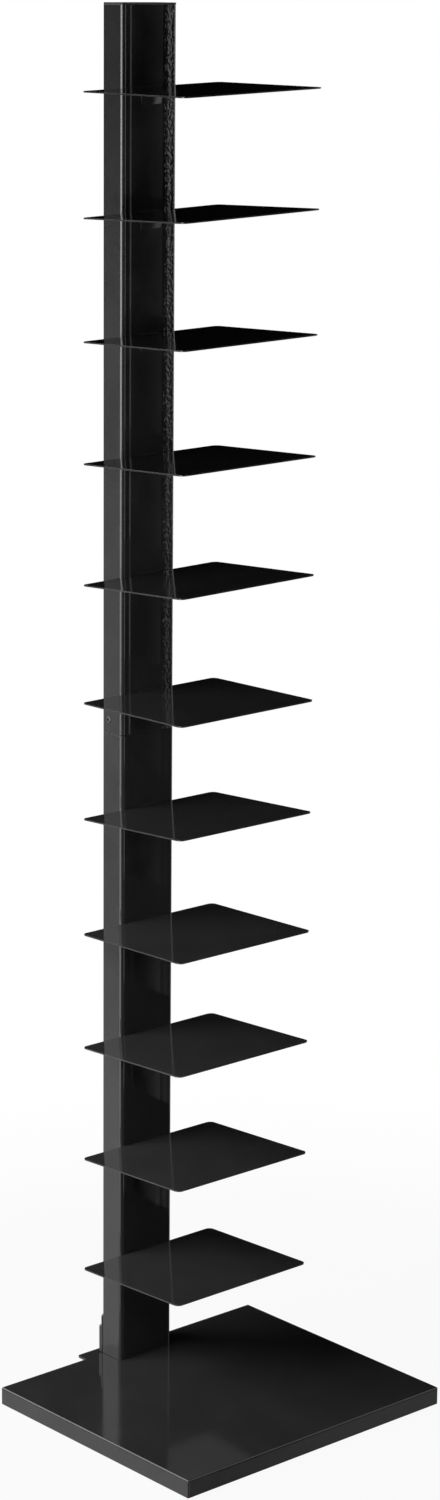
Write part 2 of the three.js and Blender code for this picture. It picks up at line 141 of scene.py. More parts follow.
def groupTree(name, inputs, outputs):
    # Inputs are (label, value), and one without a value is a vector. The outputs are numbers.
    tree = bpy.data.node_groups.new(name, "ShaderNodeTree")
    for label, value in inputs:
        kind = "NodeSocketVector" if value is None else "NodeSocketFloat"
        socket = tree.interface.new_socket(label, in_out="INPUT", socket_type=kind)
        if value is not None:
            socket.default_value = value
    for label in outputs:
        tree.interface.new_socket(label, in_out="OUTPUT", socket_type="NodeSocketFloat")
    return tree, tree.nodes.new("NodeGroupInput").outputs, tree.nodes.new("NodeGroupOutput").inputs


# Height of the skin of sprayed enamel: broad flow waves with fine dimples on them

peel = {"dimpleDetail": 1.5, "waveDetail": 1.0, "waveShare": 0.11, "waveHeight": 9.0}


def makeOrangePeel(p):
    # Height = noise of the dimple size + waves * wave height * noise at a small share of its scale
    inputs = [("Vector", None), ("Dimple size", 1.0), ("Waves", 0.5)]
    tree, given, result = groupTree("orangePeel", inputs, ["Height"])
    perMetre = mathNode(tree, "DIVIDE", 1 / mm, given["Dimple size"])
    dimples = noiseNode(tree, given["Vector"], perMetre, Detail=p["dimpleDetail"])
    waveScale = mathNode(tree, "MULTIPLY", perMetre, p["waveShare"])
    waves = noiseNode(tree, given["Vector"], waveScale, Detail=p["waveDetail"])
    swell = mathNode(tree, "MULTIPLY", waves, mathNode(tree, "MULTIPLY", given["Waves"], p["waveHeight"]))
    tree.links.new(mathNode(tree, "ADD", dimples, swell), result["Height"])
    return tree


# Mask of faint hand marks and settled dust: large soft patches

handMarks = {"detail": 5.0, "roughness": 0.6, "distortion": 0.4, "edgeShare": 0.7, "contrast": 4.0}


def makeHandling(p):
    # Mask = contrast * (noise - edge share * (1 - cover)), held between 0 and 1
    inputs = [("Vector", None), ("Patch size", 60.0), ("Cover", 0.4)]
    tree, given, result = groupTree("handling", inputs, ["Mask"])
    perMetre = mathNode(tree, "DIVIDE", 1 / mm, given["Patch size"])
    looks = {"Detail": p["detail"], "Roughness": p["roughness"], "Distortion": p["distortion"]}
    patches = noiseNode(tree, given["Vector"], perMetre, **looks)
    edge = mathNode(tree, "MULTIPLY", mathNode(tree, "SUBTRACT", 1.0, given["Cover"]), p["edgeShare"])
    above = mathNode(tree, "SUBTRACT", patches, edge)
    tree.links.new(mathNode(tree, "MULTIPLY", above, p["contrast"], clamp=True), result["Mask"])
    return tree


# Mask of worn edges, which also paints a lighter edge highlight along the rounded edges: where the normal of
# a rounded copy of the surface leaves the true normal

rubbingAndSheen = {
    "samples": 4,
    "bendGain": 6.0,
    "chipScale": 160.0,
    "chipDetail": 4.0,
    "chipFrom": 0.45,
    "chipGain": 6.0,
}


def makeEdgeWearAndSheen(p):
    # Mask = amount * bend * chips: bend grows with 1 - dot of both normals, and chips is noise above a start
    inputs = [("Vector", None), ("Reach", 0.6 * mm), ("Amount", 0.5)]
    tree, given, result = groupTree("edgeWearAndSheen", inputs, ["Mask"])
    rounded = addNode(tree, "ShaderNodeBevel", samples=p["samples"])
    tree.links.new(given["Reach"], rounded.inputs["Radius"])
    plain = addNode(tree, "ShaderNodeNewGeometry")
    dot = addNode(tree, "ShaderNodeVectorMath", operation="DOT_PRODUCT")
    tree.links.new(rounded.outputs["Normal"], dot.inputs[0])
    tree.links.new(plain.outputs["Normal"], dot.inputs[1])
    apart = mathNode(tree, "SUBTRACT", 1.0, dot.outputs["Value"])
    bend = mathNode(tree, "MULTIPLY", apart, p["bendGain"], clamp=True)
    chips = noiseNode(tree, given["Vector"], p["chipScale"], Detail=p["chipDetail"])
    above = mathNode(tree, "SUBTRACT", chips, p["chipFrom"])
    broken = mathNode(tree, "MULTIPLY", above, p["chipGain"], clamp=True)
    wornAndSheen = mathNode(tree, "MULTIPLY", mathNode(tree, "MULTIPLY", bend, broken), given["Amount"])
    tree.links.new(wornAndSheen, result["Mask"])
    return tree


# Height of dry overspray: coarse grains that begin at a place along x and reach full height over a width

def makeOverspray(detail):
    # Height = noise * (x - start) / width, the last held between 0 and 1
    inputs = [("Vector", None), ("Start", 0.02), ("Width", 0.01), ("Grain", 2.0)]
    tree, given, result = groupTree("overspray", inputs, ["Height"])
    axes = addNode(tree, "ShaderNodeSeparateXYZ")
    tree.links.new(given["Vector"], axes.inputs[0])
    beyond = mathNode(tree, "SUBTRACT", axes.outputs["X"], given["Start"])
    cover = mathNode(tree, "DIVIDE", beyond, given["Width"], clamp=True)
    perMetre = mathNode(tree, "DIVIDE", 1 / mm, given["Grain"])
    grains = noiseNode(tree, given["Vector"], perMetre, Detail=detail)
    tree.links.new(mathNode(tree, "MULTIPLY", grains, cover), result["Height"])
    return tree


orangePeel = makeOrangePeel(peel)
handling = makeHandling(handMarks)
edgeWearAndSheen = makeEdgeWearAndSheen(rubbingAndSheen)
overspray = makeOverspray(detail=0.5)
print("node groups built")


# Materials: each goes from a clean colour and roughness to marked ones where the hand marks lie

def placeGroup(tree, group, place, **values):
    node = addNode(tree, "ShaderNodeGroup", node_tree=group)
    tree.links.new(place, node.inputs["Vector"])
    for name, value in values.items():
        node.inputs[name.replace("_", " ")].default_value = value
    return node.outputs


def colourBetween(tree, mask, low, high):
    mix = addNode(tree, "ShaderNodeMix", data_type="RGBA")
    for name, value in {"Factor": mask, "A": low, "B": high}.items():
        feed(tree, mix.inputs[name], value)
    return mix.outputs["Result"]


def valueBetween(tree, mask, low, high):
    span = addNode(tree, "ShaderNodeMapRange")
    for name, value in {"Value": mask, "To Min": low, "To Max": high}.items():
        feed(tree, span.inputs[name], value)
    return span.outputs["Result"]


def startMaterial(name, p):
    material = bpy.data.materials.new(name)
    material.use_nodes = True
    tree = material.node_tree
    shader = tree.nodes["Principled BSDF"]
    place = tree.nodes.new("ShaderNodeTexCoord").outputs["Object"]
    marks = placeGroup(tree, handling, place, Patch_size=p["patch"], Cover=p["cover"])["Mask"]
    tree.links.new(colourBetween(tree, marks, p["clean"], p["marked"]), shader.inputs["Base Color"])
    tree.links.new(valueBetween(tree, marks, *p["roughness"]), shader.inputs["Roughness"])
    return material, tree, shader, place


def addBump(tree, shader, height, distance):
    bump = addNode(tree, "ShaderNodeBump")
    for name, value in {"Height": height, "Distance": distance}.items():
        feed(tree, bump.inputs[name], value)
    tree.links.new(bump.outputs["Normal"], shader.inputs["Normal"])


enamel = {
    "clean": (0.036, 0.036, 0.037),
    "marked": (0.043, 0.043, 0.044),
    "roughness": (0.075, 0.12),
    "patch": 70.0,
    "cover": 0.42,
    # Lighter colour on the edges: partly rubbed paint, partly a painted edge highlight
    "wornAndSheen": (0.09, 0.09, 0.09),
    "edgeMarkReach": 0.4 * mm,
    "edgeMarkAmount": 0.35,
    "ior": 1.6,
    "dimple": 1.8,
    "waves": 0.6,
    "dimpleHeight": 0.007 * mm,
}
primer = {**enamel, "clean": (0.030, 0.030, 0.031), "roughness": (0.42, 0.55)}

# The upper post was sprayed dry along its right edge
dryStrip = {"sprayStart": 19 * mm, "sprayWidth": 8 * mm, "sprayGrain": 4.2, "sprayHeight": 0.52 * mm}
dryEnamel = {**enamel, **dryStrip}


def enamelMaterial(name, p):
    material, tree, shader, place = startMaterial(name, p)
    # The edges get a lighter colour that is partly rubbed paint and partly a painted edge highlight
    wearAndSheen = placeGroup(tree, edgeWearAndSheen, place, Reach=p["edgeMarkReach"], Amount=p["edgeMarkAmount"])["Mask"]
    beforeEdgeMarks = shader.inputs["Base Color"].links[0].from_socket
    tree.links.new(colourBetween(tree, wearAndSheen, beforeEdgeMarks, p["wornAndSheen"]), shader.inputs["Base Color"])
    height = placeGroup(tree, orangePeel, place, Dimple_size=p["dimple"], Waves=p["waves"])["Height"]
    if "sprayHeight" in p:
        strip = {"Start": p["sprayStart"], "Width": p["sprayWidth"], "Grain": p["sprayGrain"]}
        dry = placeGroup(tree, overspray, place, **strip)["Height"]
        raised = mathNode(tree, "MULTIPLY", dry, p["sprayHeight"] / p["dimpleHeight"])
        height = mathNode(tree, "ADD", height, raised)
    addBump(tree, shader, height, p["dimpleHeight"])
    shader.inputs["IOR"].default_value = p["ior"]
    return material


zincPlate = {
    "clean": (0.56, 0.57, 0.58),
    "marked": (0.33, 0.34, 0.35),
    "roughness": (0.28, 0.5),
    "patch": 5.0,
    "cover": 0.5,
    "grain": 900.0,
    "grainHeight": 0.03 * mm,
}


def zincMaterial(name, p):
    material, tree, shader, place = startMaterial(name, p)
    shader.inputs["Metallic"].default_value = 1.0
    addBump(tree, shader, noiseNode(tree, place, p["grain"]), p["grainHeight"])
    return material


mouldedPlastic = {
    "clean": (0.012, 0.012, 0.013),
    "marked": (0.03, 0.03, 0.03),
    "roughness": (0.45, 0.6),
    "patch": 30.0,
    "cover": 0.4,
    "grain": 1500.0,
    "grainHeight": 0.04 * mm,
}


def plasticMaterial(name, p):
    material, tree, shader, place = startMaterial(name, p)
    grain = addNode(tree, "ShaderNodeTexVoronoi", feature="SMOOTH_F1")
    grain.inputs["Scale"].default_value = p["grain"]
    tree.links.new(place, grain.inputs["Vector"])
    addBump(tree, shader, grain.outputs["Distance"], p["grainHeight"])
    return material


glossBlack = enamelMaterial("gloss black enamel", enamel)
postBlack = enamelMaterial("gloss black enamel, dry at one edge", dryEnamel)
satinBlack = enamelMaterial("satin black primer", primer)
zinc = zincMaterial("zinc plate", zincPlate)
plastic = plasticMaterial("moulded plastic", mouldedPlastic)
print("materials built")


# Surfaces: shapes from numpy arrays

guard = {"near": 0.35 * mm, "longStep": 2 * mm}  # extra points near the ends of long flat steps
leastRadius = 0.02 * mm
joinDistance = 0.01 * mm


def makeMesh(name, points, faces, material, sheet=False):
    # Normals point outward. Grids of an open sheet are joined first, and its largest face looks up.
    mesh = bpy.data.meshes.new(name)
    mesh.from_pydata(points.tolist(), [], faces)
    mesh.update()
    bm = bmesh.new()
    bm.from_mesh(mesh)
    if sheet:
        bmesh.ops.remove_doubles(bm, verts=bm.verts, dist=joinDistance)
    bmesh.ops.recalc_face_normals(bm, faces=bm.faces)
    if sheet and max(bm.faces, key=lambda face: face.calc_area()).normal.z < 0:
        bmesh.ops.reverse_faces(bm, faces=bm.faces)
    bm.to_mesh(mesh)
    bm.free()
    mesh.polygons.foreach_set("use_smooth", np.full(len(mesh.polygons), True))
    mesh.materials.append(material)
    piece = bpy.data.objects.new(name, mesh)
    scene.collection.objects.link(piece)
    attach(piece, "root")
    return piece


def roundEdges(piece, width, segments, angle):
    # Small round edges, with the flats kept flat in shading
    soft = piece.modifiers.new("round edges", "BEVEL")
    soft.width = width
    soft.segments = segments
    soft.limit_method = "ANGLE"
    soft.angle_limit = math.radians(angle)
    soft.harden_normals = True


def ringFaces(loops, count, closed=False):
    # Quads between neighbouring loops of equal length: loop k, point j to loop k + 1, point j + 1
    k = np.arange(loops if closed else loops - 1)[:, None]
    j = np.arange(count)[None, :]
    low, high = k * count, ((k + 1) % loops) * count
    after = (j + 1) % count
    quads = np.stack([low + j, low + after, high + after, high + j], -1)
    return quads.reshape(-1, 4).tolist()


def roundedLoop(width, depth, radius, inset, perCorner, perFlat=0):
    # Rounded rectangle, inset: arcs of radius r - inset about the corners' fixed centres. A guard point
    # stands beside each arc's ends, on the flat, and extra points may divide the flats that lie along x.
    inner = max(radius - inset, leastRadius)
    reachX, reachY = width / 2 - inset - inner, depth / 2 - inset - inner
    angle = np.linspace(0, math.pi / 2, perCorner)
    parts = []
    for quarter, (signX, signY) in enumerate(((1, 1), (-1, 1), (-1, -1), (1, -1))):
        turn = quarter * math.pi / 2 + angle
        middle = np.array([signX * reachX, signY * reachY])
        arc = middle + inner * np.stack([np.cos(turn), np.sin(turn)], -1)
        before = arc[0] + guard["near"] * np.array([math.sin(turn[0]), -math.cos(turn[0])])
        after = arc[-1] + guard["near"] * np.array([-math.sin(turn[-1]), math.cos(turn[-1])])
        parts += [before[None], arc, after[None]]
        if perFlat and quarter in (0, 2):
            goal = after * np.array([-1, 1])
            parts.append(after + (goal - after) * np.linspace(0, 1, perFlat + 2)[1:-1, None])
    return np.concatenate(parts)


def withGuards(section, closed):
    # A long step of a section gets a point near each end, and open ends get one a little way in, so that the
    # shading of a flat stays flat
    ends = section + section[:1] if closed else section
    result = [] if closed else [(section[0][0] + guard["near"], section[0][1])]
    for (inset, height), (nextInset, nextHeight) in zip(ends, ends[1:]):
        result.append((inset, height))
        step = math.hypot(nextInset - inset, nextHeight - height)
        if step > guard["longStep"]:
            share = guard["near"] / step
            for part in (share, 1 - share):
                result.append((inset + (nextInset - inset) * part, height + (nextHeight - height) * part))
    if not closed:
        result += [section[-1], (section[-1][0] + guard["near"], section[-1][1])]
    return result


def loopBody(name, loopAt, section, toSpace, material, closed=False):
    # Loops stacked in height: each section point is (inset, height), and open ends are closed by one face
    section = withGuards(section, closed)
    loops = [loopAt(inset) for inset, height in section]
    count = len(loops[0])
    levels = [np.full(count, height) for inset, height in section]
    flat = np.concatenate([np.column_stack(pair) for pair in zip(loops, levels)])
    faces = ringFaces(len(section), count, closed)
    if not closed:
        faces += [list(range(count))[::-1], list(range(len(flat) - count, len(flat)))]
    return makeMesh(name, toSpace(flat), faces, material)


def quarterRound(radius, steps, height):
    # From the side to the flat at a height: inset r(1 - cos a), and the height below the flat is r(1 - sin a)
    a = np.linspace(0, math.pi / 2, steps)
    return [(radius * (1 - math.cos(t)), height + radius * (math.sin(t) - 1)) for t in a]


def shiftedBy(x, y, z):
    return lambda flat: flat + np.array([x, y, z])


# Post: two lengths of rectangular tube, each with fine rounded lips. The front is a little crowned and falls
# back in a shallow band along each edge, as rolled tube does, and the upper length does so more.

backEdge = 163.25 * mm  # of the base, in the frame

post = {
    "width": 82 * mm,
    "depth": 37 * mm,
    "bend": 5 * mm,
    "wall": 1.5 * mm,
    "lip": 0.25 * mm,
    "overhang": 3 * mm,  # behind the base's back edge
    "crownHalf": 21 * mm,
    "crown": 0.018,
    "bands": ((-1, 28.8 * mm, 3 * mm), (1, 29 * mm, 7.5 * mm)),  # side, middle, half width
    "bandTilt": {"lower_post": 0.012, "upper_post": 0.064},
    "cornerPoints": 16,
    "flatPoints": 60,
}
postMiddle = backEdge + post["overhang"] - post["depth"] / 2
postFront = backEdge + post["overhang"] - post["depth"]


def rolledFront(x, bandTilt, p):
    # Fall = integral of the tilt: crown |x| / half over the middle, and (1 + cos) / 2 over each band
    middle = np.minimum(np.abs(x), p["crownHalf"])
    fall = p["crown"] * middle ** 2 / (2 * p["crownHalf"])
    for side, place, half in p["bands"]:
        u = np.clip((side * x - place) / half, -1, 1)
        fall = fall + bandTilt * half / 2 * (u + 1 + np.sin(math.pi * u) / math.pi)
    return fall


def postLength(name, node, material, p):
    # The section runs up outside, over the top lip, down inside and under the bottom lip. The front's fall
    # fades along the sides, from all of it at the front to none at the back.
    low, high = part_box(node)
    lip, wall = p["lip"], p["wall"]
    section = [
        (lip, low.z), (0, low.z + lip), (0, high.z - lip), (lip, high.z),
        (wall - lip, high.z), (wall, high.z - lip), (wall, low.z + lip), (wall - lip, low.z),
    ]
    flatSide = p["depth"] / 2 - p["bend"]

    def loopAt(inset):
        loop = roundedLoop(p["width"], p["depth"], p["bend"], inset, p["cornerPoints"], p["flatPoints"])
        front = np.clip((flatSide - loop[:, 1]) / (2 * flatSide), 0, 1)
        loop[:, 1] += rolledFront(loop[:, 0], p["bandTilt"][node], p) * front
        return loop

    place = shiftedBy(0, postMiddle, 0)
    piece = loopBody(name, loopAt, section, place, material, closed=True)
    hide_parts(node)


postLength("post_lower_skin", "lower_post", glossBlack, post)
postLength("post_upper_skin", "upper_post", postBlack, post)
print("post built")


# Cap: a flange with a softly rounded upper edge and its plug

cap = {
    "flange": 2 * mm,
    "edge": 0.9 * mm,
    "edgeSteps": 8,
    "lowerEdge": 0.15 * mm,
    "lift": 0.02 * mm,  # the flange reaches this far down past its seat
    "slip": 1.75 * mm,
    "lead": 1 * mm,
}


def capBody(p):
    # The section runs up the plug from its tapered lead, out under the flange and over its round edge
    low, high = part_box("post_cap")
    seat = high.z - p["flange"]
    section = [
        (p["slip"] + p["lead"], low.z),
        (p["slip"], low.z + 2 * p["lead"]),
        (p["slip"], seat - p["lift"]),
        (p["lowerEdge"], seat - p["lift"]),
        (0, seat + p["lowerEdge"]),
    ]
    section += quarterRound(p["edge"], p["edgeSteps"], high.z)
    outline = (post["width"], post["depth"], post["bend"])
    loopAt = lambda inset: roundedLoop(*outline, inset, post["cornerPoints"])
    place = shiftedBy(0, postMiddle, 0)
    piece = loopBody("cap_moulding", loopAt, section, place, plastic)
    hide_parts("post_cap")


capBody(cap)
print("cap built")


# Base: a pan of folded sheet with a small bend all round, open below

base = {
    "width": 402 * mm,
    "depth": 344 * mm,
    "bend": 2 * mm,
    "bendSteps": 10,
    "innerBend": 0.5 * mm,
    "innerSoft": 0.15 * mm,
    "sheet": 1.5 * mm,
    "lip": 0.3 * mm,
}


def baseBody(p):
    # One closed skin: from the middle of the top over the bend, down the skirt, round its lip and up inside
    # to the middle again
    low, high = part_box("base_tray")
    sheet, lip, inner, soft = p["sheet"], p["lip"], p["innerBend"], p["innerSoft"]
    over = quarterRound(p["bend"], p["bendSteps"], high.z)[::-1]
    skirt = [(0, low.z + lip), (lip, low.z), (sheet - lip, low.z), (sheet, low.z + lip)]
    under = high.z - sheet
    inside = [(sheet, under - inner), (sheet + soft, under - soft), (sheet + inner, under)]
    loopAt = lambda inset: roundedLoop(p["width"], p["depth"], p["bend"], inset, p["bendSteps"])
    place = shiftedBy(0, backEdge - p["depth"] / 2, 0)
    piece = loopBody("base_pan", loopAt, over + skirt + inside, place, glossBlack)
    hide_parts("base_tray")


baseBody(base)
print("base built")


# Shelves: one sheet each, the plate with two relief slots at its back and the tab folded down between them.
# The flat sheet is made of grids, with rows from front to back and columns from left to right.

shelf = {
    "width": 206 * mm,
    "frontReach": 178 * mm,
    "backGap": 1 * mm,
    "corner": 7 * mm,
    "sheet": 1.5 * mm,
    "tabWidth": 31 * mm,
    "tabDrop": 20 * mm,
    "tabCorner": 2.5 * mm,
    "innerBend": 1.5 * mm,
    "relief": 2 * mm,
    "reliefExtra": 1 * mm,
    "edge": 0.35 * mm,
    "standOff": 0.6 * mm,  # of the tab from the post
    "settle": 4 * mm,  # the length of tab over which it gets there
    "curl": 4.0,
    "curlFrom": 4.5 * mm,
    "curlSkew": 0.35,
    "lowest": 161.75 * mm,
    "pitch": 140.25 * mm,
    "rise": [2.1, 2.5, 2.4, 1.1, 2.7, 0.4, 2.7, 2.1, 1.5, 1.5, -0.4],  # degrees, from the lowest shelf up
    "roll": [0.3, 0.2, 0.4, 0.4, 0.3, 0.9, 1.5, 1.2, 1.6, 2.1, 2.1],
    "cornerRows": 9,
    "flatRows": 10,
    "foldRows": 10,
    "tabRows": 4,
    "tabCornerRows": 6,
    "sideColumns": 9,
    "tabColumns": 17,
}
decimals = 8  # rows are rounded to this many, so that equal ones become one
sameRow = 1e-9


def joinedRows(*places):
    return np.unique(np.round(np.concatenate(places), decimals))


def cornered(half, radius, fromEnd):
    # Half width of a strip with a round corner: half - r + sqrt(r^2 - (r - d)^2) at distance d from its end
    d = np.clip(fromEnd, 0, radius)
    return half - radius + np.sqrt(np.maximum(radius ** 2 - (radius - d) ** 2, 0))


def plateRows(front, back, slotEnd, p):
    # Rows are spaced as 1 - cos over each round corner and evenly between, and one lies at the slots' ends
    ease = p["corner"] * (1 - np.cos(np.linspace(0, math.pi / 2, p["cornerRows"])))
    frontRows, backRows = front + ease, back - ease[::-1]
    flatRows = np.linspace(frontRows[-1], backRows[0], p["flatRows"])
    return joinedRows(frontRows, flatRows, backRows, [slotEnd])


def foldOf(rise, p):
    # The middle of the sheet turns by 90 degrees less the rise, on an arc of radius r that starts
    # r tan(turn / 2) before the corner
    radius = p["innerBend"] + p["sheet"] / 2
    turn = math.pi / 2 - rise
    setback = radius * math.tan(turn / 2)
    return {
        "radius": radius,
        "turn": turn,
        "start": postFront - p["sheet"] / 2 - setback,
        "arc": radius * turn,
        "straight": p["tabDrop"] - p["sheet"] / 2 - setback,
    }


def tabRows(slotEnd, fold, p):
    # Rows from the slots' ends round the fold and down the tab, closer together at its round lower corners
    down = fold["start"] + fold["arc"]
    ease = p["tabCorner"] * (1 - np.cos(np.linspace(0, math.pi / 2, p["tabCornerRows"])))
    return joinedRows(
        [slotEnd, fold["start"]],
        fold["start"] + np.linspace(0, fold["arc"], p["foldRows"]),
        down + np.linspace(0, fold["straight"] - p["tabCorner"], p["tabRows"]),
        down + fold["straight"] - ease,
    )


def levelGrid(rows, x, p):
    # Points (x, row) in the middle of the sheet, half its thickness below the top
    y = np.repeat(rows[:, None], x.shape[1], 1)
    return np.stack([x, y, np.full(x.shape, -p["sheet"] / 2)], -1)


def bentGrid(rows, x, fold, p):
    # Past the fold's start by d, the angle a is d / r up to the turn, and past is d less the arc. Then
    # y = start + r sin a + past cos turn and z = -r (1 - cos a) - past sin turn. The tab stands off the post,
    # and its right part curls back by curl * (x - curlFrom)^2.
    s = np.repeat(rows[:, None], x.shape[1], 1)
    beyond = np.clip(s - fold["start"], 0, None)
    angle = np.clip(beyond / fold["radius"], 0, fold["turn"])
    past = np.clip(beyond - fold["arc"], 0, None)
    bent = fold["start"] + fold["radius"] * np.sin(angle) + past * math.cos(fold["turn"])
    y = np.where(beyond > 0, bent, s)
    z = -fold["radius"] * (1 - np.cos(angle)) - past * math.sin(fold["turn"])
    slack = np.clip(x - p["curlFrom"] + p["curlSkew"] * past, 0, None)
    y = y + (p["curl"] * slack ** 2 - p["standOff"]) * np.clip(past / p["settle"], 0, 1)
    return np.stack([x, y, z - p["sheet"] / 2], -1)


def joinGrids(grids):
    # All points in one list, and a quad for each cell from (i, j) to (i + 1, j + 1)
    points, faces, first = [], [], 0
    for grid in grids:
        n, m = grid.shape[:2]
        i, j = np.meshgrid(np.arange(n - 1), np.arange(m - 1), indexing="ij")
        corner = first + i * m + j
        faces.append(np.stack([corner, corner + 1, corner + m + 1, corner + m], -1).reshape(-1, 4))
        points.append(grid.reshape(-1, 3))
        first += n * m
    return np.concatenate(points), np.concatenate(faces).tolist()


def flatSheet(rise, p):
    # The plate in front of the slots, a shoulder on each side of them and the tab between
    halfTab = p["tabWidth"] / 2
    halfSlot = halfTab + p["relief"]
    front, back = postFront - p["frontReach"], postFront - p["backGap"]
    slotEnd = postFront - p["innerBend"] - p["sheet"] - p["reliefExtra"]
    rows = plateRows(front, back, slotEnd, p)
    ahead, beside = rows[rows <= slotEnd + sameRow], rows[rows >= slotEnd - sameRow]
    share = np.linspace(0, 1, p["sideColumns"])

    def sideOf(s):
        # Columns from the slot's outer edge to the plate's side
        halfWidth = cornered(p["width"] / 2, p["corner"], np.minimum(s - front, back - s))
        return halfSlot + share * (halfWidth[:, None] - halfSlot)

    side = sideOf(ahead)[:, 1:]
    inner = np.array([-halfSlot, -halfTab, -halfTab / 2, 0, halfTab / 2, halfTab, halfSlot])
    full = np.concatenate([-side[:, ::-1], np.repeat(inner[None], len(ahead), 0), side], 1)
    fold = foldOf(rise, p)
    along = tabRows(slotEnd, fold, p)
    tabHalf = cornered(halfTab, p["tabCorner"], along[-1] - along)
    return joinGrids([
        levelGrid(ahead, full, p),
        levelGrid(beside, sideOf(beside), p),
        levelGrid(beside, -sideOf(beside), p),
        bentGrid(along, tabHalf[:, None] * np.linspace(-1, 1, p["tabColumns"]), fold, p),
    ])


def addShelf(number, p):
    # The sheet is tipped about the fold by its rise, rolled about y by its roll and lifted to its level
    rise, roll = math.radians(p["rise"][number]), math.radians(p["roll"][number])
    flat, faces = flatSheet(rise, p)
    pivot = np.array([0, postFront - p["sheet"] / 2, -p["sheet"] / 2])
    cosRise, sinRise = math.cos(rise), math.sin(rise)
    tip = np.array([[1, 0, 0], [0, cosRise, sinRise], [0, -sinRise, cosRise]])
    cosRoll, sinRoll = math.cos(roll), math.sin(roll)
    turnLeft = np.array([[cosRoll, 0, -sinRoll], [0, 1, 0], [sinRoll, 0, cosRoll]])
    level = np.array([0, 0, p["lowest"] + number * p["pitch"]])
    placed = ((flat - pivot) @ tip.T + pivot) @ turnLeft.T + level
    piece = makeMesh(f"shelf_sheet_{number + 1:02d}", placed, faces, glossBlack, sheet=True)
    thick = piece.modifiers.new("sheet", "SOLIDIFY")
    thick.thickness = p["sheet"]
    thick.offset = 0
    thick.use_even_offset = True
    roundEdges(piece, p["edge"], segments=3, angle=60)
    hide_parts(f"shelf_{number + 1:02d}")


for number in range(len(shelf["rise"])):
    addShelf(number, shelf)
print("shelves built")


# Screws: a low dome with a hexagonal socket, turned about its axis

screws = {
    "tabHead": (3.5 * mm, 2.2 * mm),  # radius, height
    "sleeveHead": (4 * mm, 1.6 * mm),
    "rimShare": 0.96,
    "domeShare": 0.98,
    "domeRings": 8,
    "socket": 1.25 * mm,
    "socketDepth": 1.2 * mm,
    "mouthShare": 1.25,
    "taperShare": 0.97,
    "around": 48,
    "edge": 0.08 * mm,
}


def domedHead(name, node, seat, axis, head, p):
    # Rings (radius, height) from the rim over the dome, height h sqrt(1 - share (r / R)^2), to the socket's
    # edge and down its walls. The socket's rings are hexagons: half the flats over cos of the angle from the
    # middle of a flat.
    headRadius, headHeight = head
    count = p["around"]
    turn = np.arange(count) / count * 2 * math.pi
    hexagon = 1 / np.cos((turn % (math.pi / 3)) - math.pi / 6)
    toSocket = headRadius + (p["socket"] * p["mouthShare"] - headRadius) * np.linspace(0, 1, p["domeRings"])
    dome = headHeight * np.sqrt(np.maximum(1 - (toSocket / headRadius) ** 2 * p["domeShare"], 0))
    circle = np.ones(count)
    rings = [(headRadius * p["rimShare"] * circle, 0)]
    rings += [(radius * circle, height) for radius, height in zip(toSocket, dome)]
    rings += [(p["socket"] * hexagon, dome[-1])]
    rings += [(p["socket"] * p["taperShare"] * hexagon, dome[-1] - p["socketDepth"])]
    forward = Vector(axis)
    side = forward.orthogonal().normalized()
    other = forward.cross(side)
    radius = np.concatenate([ring for ring, height in rings])
    height = np.repeat([height for ring, height in rings], count)
    spin = np.tile(turn, len(rings))
    points = np.array(seat) + np.outer(height, forward)
    points = points + np.outer(radius * np.cos(spin), side) + np.outer(radius * np.sin(spin), other)
    faces = ringFaces(len(rings), count)
    faces += [list(range(count))[::-1], list(range(len(points) - count, len(points)))]
    piece = makeMesh(name, points, faces, glossBlack)
    roundEdges(piece, p["edge"], segments=2, angle=40)
    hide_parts(node)


for number in range(1, len(shelf["rise"]) + 1):
    for side in ("left", "right"):
        node = f"tab_screw_{number:02d}_{side}"
        low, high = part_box(node)
        seat = ((low.x + high.x) / 2, low.y + screws["tabHead"][1], (low.z + high.z) / 2)
        domedHead(f"tab_bolt_{number:02d}_{side}", node, seat, (0, -1, 0), screws["tabHead"], screws)
for side, sign in (("left", -1), ("right", 1)):
    node = f"sleeve_screw_{side}"
    low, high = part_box(node)
    seat = (sign * post["width"] / 2, (low.y + high.y) / 2, (low.z + high.z) / 2)
    domedHead(f"sleeve_bolt_{side}", node, seat, (sign, 0, 0), screws["sleeveHead"], screws)
print("screws built")


# Foot bracket and clamp bar: flat bars with round corners and eased edges

bracket = {
    "sheet": 2.5 * mm,
    "width": 136 * mm,
    "lap": 58 * mm,
    "reach": 17.5 * mm,
    "corner": 4 * mm,
    "legWidth": 79 * mm,
    "barCorner": 2 * mm,
    "edge": 0.4 * mm,
    "edgeSteps": 5,
    "cornerPoints": 8,
}


def flatBar(name, width, height, thickness, corner, toSpace, p):
    # Loops from one face to the other: at each face, inset r(1 - sin a) and depth r(1 - cos a)
    edge = p["edge"]
    turns = np.linspace(0, math.pi / 2, p["edgeSteps"])
    section = [(edge * (1 - math.sin(t)), edge * (1 - math.cos(t))) for t in turns]
    section += [(inset, thickness - depth) for inset, depth in section[::-1]]
    loopAt = lambda inset: roundedLoop(width, height, corner, inset, p["cornerPoints"])
    return loopBody(name, loopAt, section, toSpace, glossBlack)


def uprightAt(y, z):
    # A flat point (a, b, c) stands up as (a, y + c, z + b)
    return lambda flat: np.stack([flat[:, 0], y + flat[:, 2], z + flat[:, 1]], -1)


